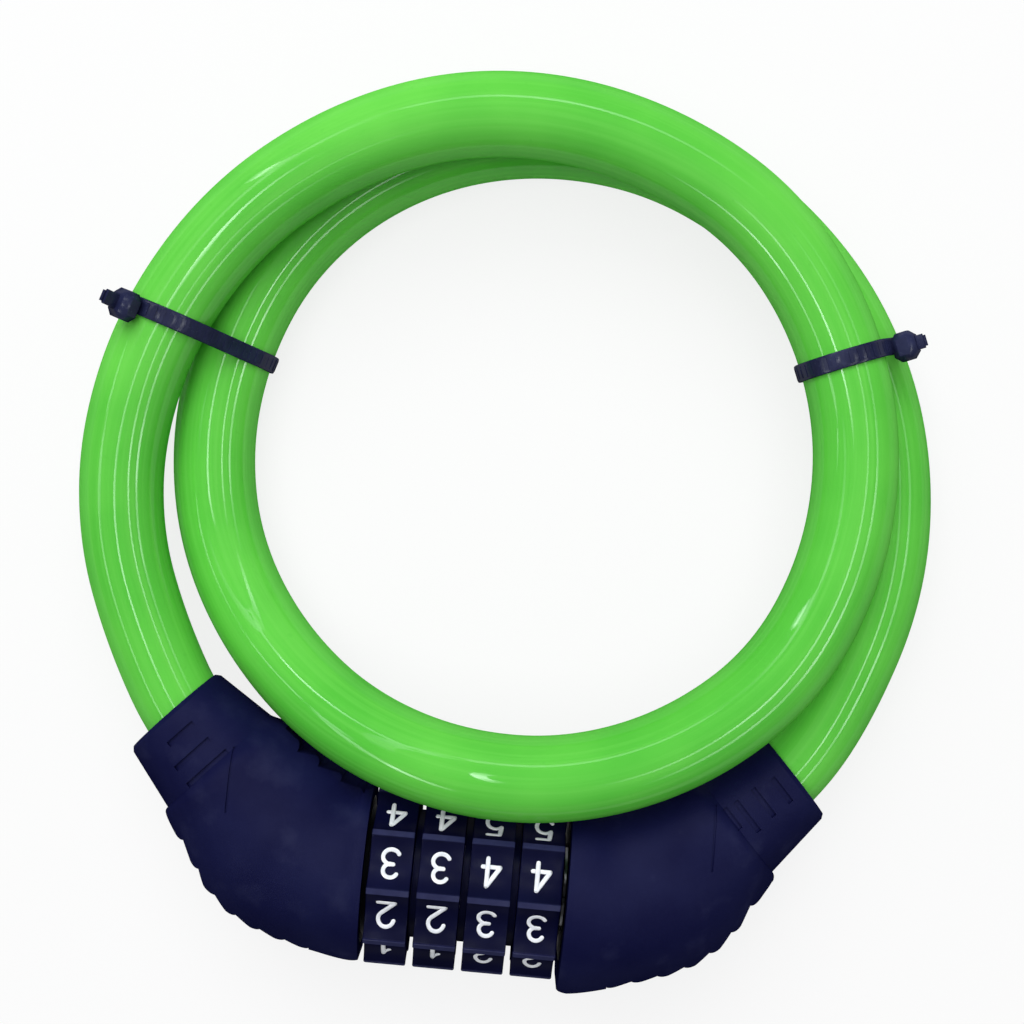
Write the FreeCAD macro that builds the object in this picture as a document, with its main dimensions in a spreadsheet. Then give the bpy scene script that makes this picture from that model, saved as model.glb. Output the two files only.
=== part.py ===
import FreeCAD, Part
import Sketcher
import math
import os
import re

# Four-dial combination cable lock, lying coiled and closed.
# The lock axis runs along X. The coil lies flat, and Z is up from the surface that it rests on.
# The barrel is the half on the -X side, which carries the dials; the plug pulls out along +X.

from FreeCAD import Placement, Rotation, Vector

sizes = {
    # where the lock axis lies: beside the middle of the coil, and as high as lets the dials clear
    "axis_offset": 6.1,
    "dial_lift": 0.3,
    # cable: plastic sheath over a steel wire rope
    "cable_radius": 6.0,
    "rope_radius": 4.0,
    "cable_clearance": 0.15,
    # dials and what they turn on
    "dial_radius": 13.3,
    "dial_width": 6.0,
    "dial_gap": 1.0,
    "dial_bore": 8.0,
    "facet_depth": 0.95,
    "ridge_width": 1.0,
    "digit_count": 10,
    "dial_lean": 16.7,
    "side_clearance": 0.05,
    "running_clearance": 0.08,
    "code_ring_width": 3.6,
    "notch_width": 2.6,
    "notch_radius": 6.1,
    "detent_radius": 0.6,
    "spacer_radius": 9.1,
    "tube_radius": 4.5,
    "tube_bore": 2.7,
    "tube_reach": 0.9,
    "slot_width": 2.3,
    # locking pin with one lug for each dial
    "pin_radius": 2.5,
    "lug_radius": 5.9,
    "lug_width": 2.0,
    "lug_length": 2.0,
    "pin_back": 9.2,
    # leaf spring that gives the dials their click
    "leaf_width": 1.5,
    "leaf_thickness": 0.3,
    "leaf_floor": 3.6,
    "leaf_end_gap": 0.5,
    "foot_inset": 0.6,
    "bump_radius": 0.4,
    "bump_centre": 4.4,
    # end of the dial stack
    "washer_inner": 6.2,
    "washer_outer": 7.8,
    "washer_thickness": 0.3,
    "clip_outer": 5.6,
    "clip_inner": 4.1,
    "clip_thickness": 0.6,
    "clip_opening": 3.2,
    "clip_sink": 0.3,
    "cutter_margin": 1.0,
    # metal cores pressed into the housings
    "mouth_gap": 0.8,
    "flange_radius": 10.5,
    "flange_thickness": 3.0,
    "stem_radius": 7.5,
    "barrel_stem": 7.2,
    "plug_stem": 8.2,
    "nose_radius": 6.4,
    "nose_clearance": 0.3,
    # crimped ferrules and the round pins that lock everything into the housings
    "ferrule_radius": 5.9,
    "ferrule_length": 5.0,
    "ferrule_base": 0.8,
    "crimp_clearance": 0.05,
    "pin_stock": 1.0,
    "pin_sink": 1.2,
    "pin_clearance": 0.15,
    "core_pin_rise": 5.5,
    "core_pin_setback": 3.7,
    "plug_pin_setback": 5.2,
    # bent housings, from the mouth at the dials to the face at the cable: each half width seen from
    # above and each mouth's half height is given by how far it reaches past the dials' radius
    "bend_radius": 20.0,
    "bend_angle": 43.0,
    "barrel_lead": 0.5,
    "barrel_collar": 21.8,
    "barrel_mouth_height": -1.2,
    "barrel_mouth": -0.95,
    "barrel_lip": -1.15,
    "barrel_waist": -1.2,
    "barrel_flank": -0.45,
    "barrel_belly": -0.8,
    "barrel_shoulder": -1.75,
    "barrel_neck": -2.5,
    "barrel_throat": -3.5,
    "barrel_edge": -5.05,
    "barrel_face": -5.55,
    "plug_lead": 2.5,
    "plug_collar": 20.7,
    "plug_mouth_height": 0.6,
    "plug_mouth": 0.5,
    "plug_lip": 0.9,
    "plug_waist": -0.5,
    "plug_flank": -0.2,
    "plug_belly": -1,
    "plug_shoulder": -1.9,
    "plug_neck": -2.6,
    "plug_throat": -3.8,
    "plug_edge": -5.45,
    "plug_face": -5.9,
    "side_allowance": 1.2,
    "height_share": 0.985,
    "cable_seat": 15.0,
    "cable_turn": 3.5,
    # scalloped grip edges: one lobe for each step along the outline
    "lobe_pitch_inside": 3.6,
    "lobe_pitch_outside": 3.7,
    "lobe_growth": 0.17,
    "lobe_depth_mouth": 0.5,
    "lobe_depth_neck": 1.05,
    "outline_margin": 2.0,
    # moulded lines on top of the collars
    "groove_width": 0.8,
    "groove_depth": 0.45,
    "crease_width": 0.35,
    "crease_depth": 0.3,
    "crease_place": 34.0,
    "crease_outer": 2.4,
    "crease_inner": 6.5,
    # cable ties
    "tie_width": 2.5,
    "tie_thickness": 0.9,
    "tie_slack": 0.3,
    "tie_head_width": 4.2,
    "tie_head_height": 4.4,
    "tie_head_depth": 3.8,
    "tie_tail": 2.4,
    "tie_tail_margin": 0.1,
    "tie_head_gap": 0.3,
    "tie_root": 1.0,
    "tie_left_x": -50.3,
    "tie_left_y": 69.5,
    "tie_left_heading": 162.5,
    "tie_left_tip": 37,
    "tie_left_slide": 0,
    "tie_right_x": 46.2,
    "tie_right_y": 73.0,
    "tie_right_heading": 22,
    "tie_right_tip": 24.8,
    "tie_right_slide": -4.6,
}

doc = FreeCAD.newDocument("CableLock")
sheet = doc.addObject("Spreadsheet::Sheet", "Sizes")
for row, (alias, value) in enumerate(sizes.items(), start=1):
    sheet.set("A%d" % row, alias)
    sheet.set("B%d" % row, str(value))
    sheet.setAlias("B%d" % row, alias)
lastRow = len(sizes) + 1
sheet.set("A%d" % lastRow, "axis_height")
sheet.set("B%d" % lastRow, "=dial_radius + dial_lift")
sheet.setAlias("B%d" % lastRow, "axis_height")
doc.recompute()

dialCount = 4
nodes = []


def size(name):
    return float(getattr(sheet, name))


def cells(text):
    """Turn each size's name in an expression into its cell in the sheet."""
    return re.sub(r"[a-z]+(_[a-z]+)+", lambda found: "Sizes." + found.group(0), str(text))


def bind(thing, **expressions):
    for name, text in expressions.items():
        thing.setExpression(name.replace("__", "."), cells(text))


def bindPlace(thing, x=0, y="-axis_offset", z="axis_height"):
    bind(thing, Placement__Base__x=x, Placement__Base__y=y, Placement__Base__z=z)


def keep(thing, name):
    thing.Label = name
    nodes.append(thing)
    return thing


# ---------------------------------------------------------------- sketches and PartDesign bodies

def plane(body, role):
    return next(origin for origin in body.Origin.OriginFeatures if origin.Role == role)


def newSketch(body, name, role):
    sketch = body.newObject("Sketcher::SketchObject", name)
    sketch.AttachmentSupport = (plane(body, role), [""])
    sketch.MapMode = "FlatFace"
    return sketch


def hold(sketch, kind, place, text):
    """Give one sketch dimension its expression; a plain zero puts the point on the sketch's axis."""
    line, end = place
    if str(text) == "0":
        axis = -2 if kind == "DistanceX" else -1
        sketch.addConstraint(Sketcher.Constraint("PointOnObject", line, end, axis))
        return
    at = sketch.getPoint(line, end)
    value = at.x if kind == "DistanceX" else at.y
    index = sketch.addConstraint(Sketcher.Constraint(kind, -1, 1, line, end, value))
    sketch.setExpression("Constraints[%d]" % index, cells(text))


def evaluate(text):
    return float(sheet.evalExpression(str(text)))


def addPolygon(sketch, corners):
    points = [Vector(evaluate(x), evaluate(y), 0) for x, y in corners]
    count = len(points)
    for i in range(count):
        sketch.addGeometry(Part.LineSegment(points[i], points[(i + 1) % count]), False)
    for i in range(count):
        sketch.addConstraint(Sketcher.Constraint("Coincident", i, 2, (i + 1) % count, 1))
    for i, (x, y) in enumerate(corners):
        hold(sketch, "DistanceX", (i, 1), x)
        hold(sketch, "DistanceY", (i, 1), y)


def addCircle(sketch, x, y, radius):
    centre = Vector(evaluate(x), evaluate(y), 0)
    index = sketch.addGeometry(Part.Circle(centre, Vector(0, 0, 1), evaluate(radius)), False)
    hold(sketch, "DistanceX", (index, 3), x)
    hold(sketch, "DistanceY", (index, 3), y)
    number = sketch.addConstraint(Sketcher.Constraint("Radius", index, evaluate(radius)))
    sketch.setExpression("Constraints[%d]" % number, cells(radius))


def turned(name, profile, x):
    """A piece turned about the lock axis from a profile of (along, radius) corners."""
    body = doc.addObject("PartDesign::Body", name)
    sketch = newSketch(body, name + "_profile", "XZ_Plane")
    addPolygon(sketch, profile)
    revolution = body.newObject("PartDesign::Revolution", name + "_turn")
    revolution.Profile = sketch
    revolution.ReferenceAxis = (sketch, ["H_Axis"])
    revolution.Angle = 360
    bindPlace(body, x)
    doc.recompute()
    return keep(body, name)


def cutUp(body, name, start, end, width, top):
    """Cut a straight key upwards from the piece's own axis to the height given."""
    sketch = newSketch(body, name, "XY_Plane")
    half = "(%s) / 2" % width
    addPolygon(sketch, [(start, "-" + half), (end, "-" + half), (end, half), (start, half)])
    pocket = body.newObject("PartDesign::Pocket", name + "_cut")
    pocket.Profile = sketch
    pocket.Reversed = True
    bind(pocket, Length=top)
    doc.recompute()
    return pocket


def crossHole(body, name, x, radius):
    sketch = newSketch(body, name, "XY_Plane")
    addCircle(sketch, x, 0, radius)
    pocket = body.newObject("PartDesign::Pocket", name + "_cut")
    pocket.Profile = sketch
    pocket.Type = 1
    pocket.Midplane = True
    doc.recompute()
    return pocket


def around(body, feature, sketch, name):
    """Repeat a feature once for each digit about the lock axis."""
    pattern = body.newObject("PartDesign::PolarPattern", name)
    pattern.Originals = [feature]
    pattern.Axis = (sketch, ["N_Axis"])
    pattern.Angle = 360
    bind(pattern, Occurrences="digit_count")
    body.Tip = pattern
    doc.recompute()


# ---------------------------------------------------------------- the dial stack

stackHalf = "(%d * dial_width + %d * dial_gap) / 2" % (dialCount, dialCount - 1)
mouth = "(%s + mouth_gap)" % stackHalf


def dialStart(index):
    return "(-%s + %d * (dial_width + dial_gap))" % (stackHalf, index)


def makeDial(index):
    name = "dial_%d" % (index + 1)
    facetRadius = "dial_radius - facet_depth"
    dial = turned(name, [(0, "dial_bore"), (0, "dial_radius"), ("dial_width", "dial_radius"),
                         ("dial_width", "dial_bore")], dialStart(index))
    facet = newSketch(dial, name + "_facet", "YZ_Plane")
    half = "(dial_radius * sin(180 deg / digit_count) - ridge_width / 2)"
    addPolygon(facet, [("-" + half, facetRadius), (half, facetRadius),
                       (half, "dial_radius + ridge_width"), ("-" + half, "dial_radius + ridge_width")])
    pocket = dial.newObject("PartDesign::Pocket", name + "_facet_cut")
    pocket.Profile = facet
    pocket.Type = 1
    pocket.Midplane = True
    around(dial, pocket, facet, name + "_facets")
    bind(dial, Placement__Rotation__Angle="-dial_lean")
    dial.Placement.Rotation = Rotation(Vector(1, 0, 0), -size("dial_lean"))


def makeCodeRing(index):
    name = "code_ring_%d" % (index + 1)
    bore = "tube_radius + running_clearance"
    ring = turned(name, [(0, bore), (0, "dial_bore"), ("code_ring_width", "dial_bore"),
                         ("code_ring_width", bore)], dialStart(index))
    detent = newSketch(ring, name + "_detent", "YZ_Plane")
    addCircle(detent, 0, "-(%s)" % bore, "detent_radius")
    pocket = ring.newObject("PartDesign::Pocket", name + "_detent_cut")
    pocket.Profile = detent
    pocket.Type = 1
    pocket.Midplane = True
    around(ring, pocket, detent, name + "_detents")
    cutUp(ring, name + "_notch", 0, "code_ring_width", "notch_width", "notch_radius")


def makeSpacer(index):
    name = "spacer_%d" % (index + 1)
    start = "%s + dial_width + side_clearance" % dialStart(index)
    wide = "dial_gap - 2 * side_clearance"
    spacer = turned(name, [(0, "tube_radius"), (0, "spacer_radius"), (wide, "spacer_radius"),
                           (wide, "tube_radius")], start)
    cutUp(spacer, name + "_notch", 0, wide, "notch_width", "notch_radius")


for index in range(dialCount):
    makeDial(index)
    makeCodeRing(index)
for index in range(dialCount - 1):
    makeSpacer(index)

# ---------------------------------------------------------------- barrel core, slotted tube, end clip

barrelBack = "(-%s - flange_thickness - barrel_stem)" % mouth
stemEnd = "(flange_thickness + barrel_stem)"
boss = "(%s + mouth_gap - side_clearance)" % stemEnd
barrelCore = turned("barrel_core", [
    (0, "tube_radius"), (0, "stem_radius"), ("barrel_stem", "stem_radius"),
    ("barrel_stem", "flange_radius"), (stemEnd, "flange_radius"), (stemEnd, "spacer_radius"),
    (boss, "spacer_radius"), (boss, "tube_radius")], barrelBack)
crossHole(barrelCore, "barrel_core_hole", "core_pin_setback", "pin_stock")

tubeLength = "(2 * %s + tube_reach + %s)" % (mouth, stemEnd)
clipAt = "(2 * %s + %s - clip_sink)" % (mouth, stemEnd)
coreTube = turned("core_tube", [
    (0, "tube_bore"), (0, "tube_radius"), (clipAt, "tube_radius"), (clipAt, "clip_inner"),
    ("%s + clip_thickness" % clipAt, "clip_inner"), ("%s + clip_thickness" % clipAt, "tube_radius"),
    (tubeLength, "tube_radius"), (tubeLength, "tube_bore")], barrelBack)
cutUp(coreTube, "tube_slot", stemEnd, tubeLength, "slot_width", "tube_radius + cutter_margin")
leafSeat = coreTube.newObject("Sketcher::SketchObject", "leaf_seat")
leafSeat.AttachmentSupport = (plane(coreTube, "XZ_Plane"), [""])
leafSeat.MapMode = "FlatFace"
leafEnd = "(%s - 2 * leaf_end_gap)" % clipAt
addPolygon(leafSeat, [(stemEnd, "-leaf_floor"), (stemEnd, "-(tube_radius + cutter_margin)"),
                      (leafEnd, "-(tube_radius + cutter_margin)"), (leafEnd, "-leaf_floor")])
leafCut = coreTube.newObject("PartDesign::Pocket", "leaf_seat_cut")
leafCut.Profile = leafSeat
leafCut.Midplane = True
bind(leafCut, Length="leaf_width + 2 * side_clearance")
doc.recompute()
crossHole(coreTube, "tube_hole", "core_pin_setback", "pin_stock")

washer = turned("wave_washer", [
    (0, "washer_inner"), (0, "washer_outer"), ("washer_thickness", "washer_outer"),
    ("washer_thickness", "washer_inner")], "%s + side_clearance" % stackHalf)
clip = turned("retaining_ring", [
    (0, "clip_inner"), (0, "clip_outer"), ("clip_thickness", "clip_outer"),
    ("clip_thickness", "clip_inner")], "%s + %s" % (barrelBack, clipAt))
cutUp(clip, "clip_gap", 0, "clip_thickness", "clip_opening", "clip_outer + cutter_margin")


def makeLeaf():
    strip = doc.addObject("Part::Box", "leaf_strip")
    run = "%s - %s - 2 * leaf_end_gap" % (leafEnd, stemEnd)
    bind(strip, Length=run, Width="leaf_width", Height="leaf_thickness")
    bindPlace(strip, "%s + %s + leaf_end_gap" % (barrelBack, stemEnd), "-axis_offset - leaf_width / 2",
              "axis_height - leaf_floor - leaf_thickness")
    parts = [strip]
    for index in range(dialCount):
        start = "%s + foot_inset" % dialStart(index)
        foot = doc.addObject("Part::Box", "leaf_foot_%d" % (index + 1))
        bind(foot, Length="code_ring_width - 2 * foot_inset", Width="2 * bump_radius",
             Height="bump_centre - leaf_floor")
        bindPlace(foot, start, "-axis_offset - bump_radius", "axis_height - bump_centre")
        bump = doc.addObject("Part::Cylinder", "leaf_bump_%d" % (index + 1))
        bind(bump, Radius="bump_radius", Height="code_ring_width - 2 * foot_inset")
        bump.Placement.Rotation = Rotation(Vector(0, 1, 0), 90)
        bindPlace(bump, start, "-axis_offset", "axis_height - bump_centre")
        parts += [foot, bump]
    leaf = doc.addObject("Part::MultiFuse", "detent_leaf")
    leaf.Shapes = parts
    leaf.Refine = True
    keep(leaf, "detent_leaf")


makeLeaf()

# ---------------------------------------------------------------- plug core and locking pin

noseDepth = "(tube_reach + nose_clearance)"
plugCore = turned("plug_core", [
    (0, "nose_radius"), (0, "flange_radius"), ("flange_thickness", "flange_radius"),
    ("flange_thickness", "stem_radius"), ("flange_thickness + plug_stem", "stem_radius"),
    ("flange_thickness + plug_stem", 0), ("pin_back", 0), ("pin_back", "pin_radius"),
    (noseDepth, "pin_radius"), (noseDepth, "nose_radius")], mouth)
crossHole(plugCore, "plug_core_hole", "flange_thickness + plug_stem - plug_pin_setback", "pin_stock")

pinLength = "(%s + %s + pin_back)" % (stackHalf, mouth)
lockingPin = turned("locking_pin", [(0, 0), (0, "pin_radius"), (pinLength, "pin_radius"), (pinLength, 0)],
                    "-" + stackHalf)
for index in range(dialCount):
    lugs = newSketch(lockingPin, "lug_%d" % (index + 1), "XY_Plane")
    middle = "(%s + %s + (dial_width + code_ring_width) / 2)" % (dialStart(index), stackHalf)
    start, end = "%s - lug_length / 2" % middle, "%s + lug_length / 2" % middle
    addPolygon(lugs, [(start, "-lug_width / 2"), (end, "-lug_width / 2"), (end, "lug_width / 2"),
                      (start, "lug_width / 2")])
    lug = lockingPin.newObject("PartDesign::Pad", "lug_%d_pad" % (index + 1))
    lug.Profile = lugs
    bind(lug, Length="lug_radius")
    doc.recompute()
crossHole(lockingPin, "locking_pin_hole",
          "%s + %s + flange_thickness + plug_stem - plug_pin_setback" % (stackHalf, mouth), "pin_stock")
doc.recompute()

# ---------------------------------------------------------------- housings

mouthX = evaluate(mouth)
bend = math.radians(size("bend_angle"))
axisPoint = Vector(0, -size("axis_offset"), size("axis_height"))


def centreline(side, station):
    """Point and direction on a housing's centreline, at a distance from its mouth. side is -1 or 1."""
    lead, radius = size(sideName(side) + "_lead"), size("bend_radius")
    if station <= lead:
        return axisPoint + Vector(side * (mouthX + station), 0, 0), Vector(side, 0, 0)
    turn = min((station - lead) / radius, bend)
    point = Vector(side * (mouthX + lead + radius * math.sin(turn)), radius * (1 - math.cos(turn)), 0)
    direction = Vector(side * math.cos(turn), math.sin(turn), 0)
    point += direction * max(station - lead - radius * bend, 0)
    return axisPoint + point, direction


# where each housing's sections lie: 0 at the mouth, 1 at the bend's end, 2 at the cable's face
sectionPlaces = {
    "barrel": {"mouth": 0, "lip": 0.2, "waist": 0.45, "flank": 0.81, "belly": 1, "shoulder": 1.21,
               "neck": 1.44, "throat": 1.55, "edge": 1.972, "face": 2},
    "plug": {"mouth": 0, "lip": 0.086, "waist": 0.40, "flank": 0.79, "belly": 1, "shoulder": 1.17,
             "neck": 1.36, "throat": 1.475, "edge": 1.971, "face": 2},
}
# the ones that the straight collar is made from
collarSections = ("throat", "edge", "face")
# share of the side allowance that each section has for the grip edges to be cut from
allowances = {"mouth": 0.6, "lip": 0.8, "waist": 1, "flank": 1, "belly": 1, "shoulder": 0.8, "neck": 0.4}
# where the grip edges begin, as sectionPlaces does: outside the bend and inside it
gripStarts = {-1: 0.30, 1: 0.13}
# each lobe rises from its low point over this share of its step; how closely a step is found, in mm
lobeNose, lobeCrest = 0.14, 0.38
tolerance = 0.01
# grooves on each collar: depth below the face, and reach across it from the outer side to the inner
grooves = {
    "barrel": [(3.4, -2.0, 2.6), (6.6, -3.5, 2.9), (9.5, -3.7, 3.7)],
    "plug": [(2.75, -1.6, 2.6), (5.85, -1.6, 3.2), (8.85, -1.9, 3.4), (10.7, 0.1, 3.6)],
}


def sideName(side):
    return "barrel" if side < 0 else "plug"


def stationAt(side, place):
    bent = size(sideName(side) + "_lead") + size("bend_radius") * bend
    return bent * min(place, 1) + size(sideName(side) + "_collar") * max(place - 1, 0)


def beyondDials(name):
    return "(dial_radius + %s)" % name


def sections(side):
    """Each section's name, station and half width seen from above, from the mouth to the cable's face."""
    name = sideName(side)
    return [(label, stationAt(side, place), evaluate(beyondDials(name + "_" + label)))
            for label, place in sectionPlaces[name].items()]


def widthAt(side, station):
    table = sections(side)
    for (_, low, lowWidth), (_, high, highWidth) in zip(table, table[1:]):
        if station <= high:
            return lowWidth + (highWidth - lowWidth) * (station - low) / (high - low)
    return table[-1][2]


def halfHeight(side, place, width):
    """How far a housing reaches above its centreline: an even run to the bend's end, then with its width."""
    name = sideName(side)
    if place > 1:
        return "%s * height_share" % width
    mouthHeight = beyondDials(name + "_mouth_height")
    belly = beyondDials(name + "_belly") + " * height_share"
    return "%s + %g * (%s - %s)" % (mouthHeight, place, belly, mouthHeight)


def inward(side, direction):
    """The level way across a housing, towards the inside of its bend."""
    return Vector(-side * direction.y, side * direction.x, 0)


def edgePoint(side, hand, station, offset=0):
    """A point on the housing's outline seen from above; hand is -1 outside the bend, 1 inside it."""
    point, direction = centreline(side, station)
    across = inward(side, direction) * hand
    return Vector(point.x, point.y, 0) + across * (widthAt(side, station) + offset)


def lobeStations(side, hand):
    """Where the low points between lobes lie, from the mouth's plain band to the throat."""
    station, found = stationAt(side, gripStarts[hand]), []
    throat = stationAt(side, sectionPlaces[sideName(side)]["throat"])
    while station < throat:
        pitch = size("lobe_pitch_inside")
        if hand < 0:
            pitch = size("lobe_pitch_outside") + len(found) * size("lobe_growth")
        found.append(station)
        near, far = 0.0, throat
        while far - near > tolerance:
            middle = (near + far) / 2
            reached = (edgePoint(side, hand, station + middle) - edgePoint(side, hand, station)).Length
            near, far = (middle, far) if reached < pitch else (near, middle)
        station += far
    return found


def gripEdge(side, hand):
    """Scalloped edge: one convex lobe between each two low points, deeper towards the throat."""
    stations = lobeStations(side, hand)
    first, last = size("lobe_depth_mouth"), size("lobe_depth_neck")
    depths = [first + (last - first) * i / (len(stations) - 2) for i in range(len(stations) - 1)] + [0]
    edges = []
    for i in range(len(stations) - 1):
        near, step = stations[i], stations[i + 1] - stations[i]
        low = edgePoint(side, hand, near, -depths[i])
        nose = edgePoint(side, hand, near + lobeNose * step, -depths[i] / 4)
        crest = edgePoint(side, hand, near + lobeCrest * step)
        end = edgePoint(side, hand, near + step, -depths[i + 1])
        edges.append(Part.Arc(low, nose, crest).toShape())
        edges.append(Part.LineSegment(crest, end).toShape())
    return edges


def gripOutline(side):
    """Flat face of the housing seen from above, with its scalloped edges and room beyond both ends."""
    length, margin = stationAt(side, 2), size("outline_margin")
    edges, ends = [], []
    for hand in (-1, 1):
        lobes = gripEdge(side, hand)
        first, last = lobeStations(side, hand)[0], lobeStations(side, hand)[-1]
        band = [edgePoint(side, hand, station) for _, station, _ in sections(side) if station < first]
        start = [band[0] - Vector(side * margin, 0, 0)] + band
        start += [edgePoint(side, hand, first), lobes[0].firstVertex().Point]
        end = [lobes[-1].lastVertex().Point, edgePoint(side, hand, last, margin),
               edgePoint(side, hand, length + margin, margin)]
        edges += Part.makePolygon(start).Edges + lobes + Part.makePolygon(end).Edges
        ends.append((start[0], end[-1]))
    edges += [Part.LineSegment(outside, inside).toShape() for outside, inside in zip(*ends)]
    return Part.Face(Part.Wire(Part.__sortEdges__(edges)))


def feature(name, shape):
    made = doc.addObject("Part::Feature", name)
    made.Shape = shape
    return made


def upright(outline, height):
    """A block of the height given that stands on a closed outline."""
    return Part.Face(Part.makePolygon(outline + outline[:1])).extrude(Vector(0, 0, height))


def alongCollar(side, depth):
    """Point on the collar's axis at a depth below its end face, and the way out of the collar."""
    return centreline(side, stationAt(side, 2) - depth)


# ---------------------------------------------------------------- the cable's route

# corners of the route from the barrel's collar round the coil to the plug's collar
coil = [
    (-49.5, 25.2, 13.6), (-54.6, 38.8, 13.8), (-55.4, 54.0, 14.8), (-51.0, 70.4, 16.6),
    (-41.2, 85.6, 18.6), (-27.6, 96.6, 19.4), (-12.3, 103.0, 19.5), (4.1, 104.1, 19.5),
    (20.2, 100.1, 19.5), (34.7, 91.6, 19.5), (45.0, 77.9, 19.5), (50.1, 61.4, 20.0),
    (48.9, 44.0, 21.8), (41.7, 28.0, 23.8), (28.6, 16.7, 25.2), (12.9, 10.7, 25.4),
    (-3.5, 10.5, 24.2), (-18.9, 15.0, 18.8), (-31.9, 24.5, 11.4), (-40.8, 37.9, 7.5),
    (-43.9, 53.2, 7.2), (-42.1, 68.5, 7.2), (-36.1, 82.5, 7.2), (-25.6, 93.9, 7.2),
    (-11.8, 101.4, 7.2), (4.1, 104.2, 7.2), (20.8, 102.0, 7.2), (36.4, 94.0, 7.2),
    (49.4, 80.5, 7.2), (57.1, 62.6, 7.7), (57.6, 42.1, 10.8), (50.6, 22.4, 13.2),
]


def routeCorners():
    """The whole route, from the sheath's end in the barrel housing to its end in the plug housing."""
    corners = [alongCollar(-1, size("cable_seat"))[0], alongCollar(-1, size("cable_turn"))[0]]
    corners += [Vector(*corner) for corner in coil]
    corners += [alongCollar(1, size("cable_turn"))[0], alongCollar(1, size("cable_seat"))[0]]
    return corners


def roundedPath(corners, radii=None):
    """Straight runs joined by tangent arcs, each as large as its two runs allow."""
    arcShare = 0.45
    edges, start = [], corners[0]
    for before, corner, after in zip(corners, corners[1:], corners[2:]):
        back, ahead = before - corner, after - corner
        reach = arcShare * min(back.Length, ahead.Length)
        back.normalize()
        ahead.normalize()
        turn = math.pi - back.getAngle(ahead)
        radius = reach / math.tan(turn / 2)
        middle = (back + ahead).normalize() * (radius / math.cos(turn / 2) - radius)
        edges.append(Part.LineSegment(start, corner + back * reach).toShape())
        edges.append(Part.Arc(corner + back * reach, corner + middle, corner + ahead * reach).toShape())
        start = corner + ahead * reach
        if radii is not None:
            radii.append(radius)
    edges.append(Part.LineSegment(start, corners[-1]).toShape())
    return Part.Wire(edges)


def pipe(path, radius):
    """A rod along a path."""
    start = path.Edges[0]
    at, direction = start.valueAt(start.FirstParameter), start.tangentAt(start.FirstParameter)
    return path.makePipe(Part.Face(Part.Wire(Part.makeCircle(radius, at, direction))))


radii = []
sheathPath = roundedPath(routeCorners(), radii)
bareEnds = []
for side in (-1, 1):
    end, out = alongCollar(side, size("cable_seat"))
    bareEnds.append(Part.LineSegment(end - out * (size("ferrule_length") - size("ferrule_base")), end))
bareEnds[1].reverse()
ropePath = Part.Wire([bareEnds[0].toShape()] + sheathPath.Edges + [bareEnds[1].toShape()])
sheath = pipe(sheathPath, size("cable_radius")).cut(pipe(sheathPath, size("rope_radius")))
keep(feature("cable_sheath", sheath.Solids[0]), "cable_sheath")
keep(feature("wire_core", pipe(ropePath, size("rope_radius"))), "wire_core")
print("cable length %.0f mm, bend radii %.0f to %.0f mm" % (sheathPath.Length, min(radii), max(radii)))


# ---------------------------------------------------------------- housings, ferrules and pins

def corePinX(side):
    """Where the pin crosses the core, on the lock axis."""
    if side < 0:
        return evaluate("%s + core_pin_setback" % barrelBack)
    return evaluate("%s + flange_thickness + plug_stem - plug_pin_setback" % mouth)


def straightPin(name, x, y, bottom, top):
    pin = doc.addObject("Part::Cylinder", name)
    bind(pin, Radius="pin_stock")
    pin.Height = top - bottom
    pin.Placement.Base = Vector(x, y, bottom)
    return pin


def makeRing(side, label, station):
    """A section of the housing, with room for the grip edges beyond its outline."""
    name = "%s_%s" % (sideName(side), label)
    point, direction = centreline(side, station)
    ring = doc.addObject("Part::Ellipse", name + "_ring")
    width = beyondDials(name)
    bind(ring, MajorRadius="%s + %g * side_allowance" % (width, allowances.get(label, 0)),
         MinorRadius=halfHeight(side, sectionPlaces[sideName(side)][label], width))
    up = Vector(0, 0, 1)
    ring.Placement = Placement(point, Rotation(up.cross(direction), up, direction, "ZXY"))
    return ring


def topLine(name, lowered, middle, along, across, reach, width):
    """A line of even depth across the top of a housing, from the outer to the inner end of its reach."""
    outline = [middle + along * (width * part) + across * reach[end]
               for part, end in ((-0.5, 0), (0.5, 0), (0.5, 1), (-0.5, 1))]
    return feature(name, upright(outline, size("axis_height")).cut(lowered))


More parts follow.
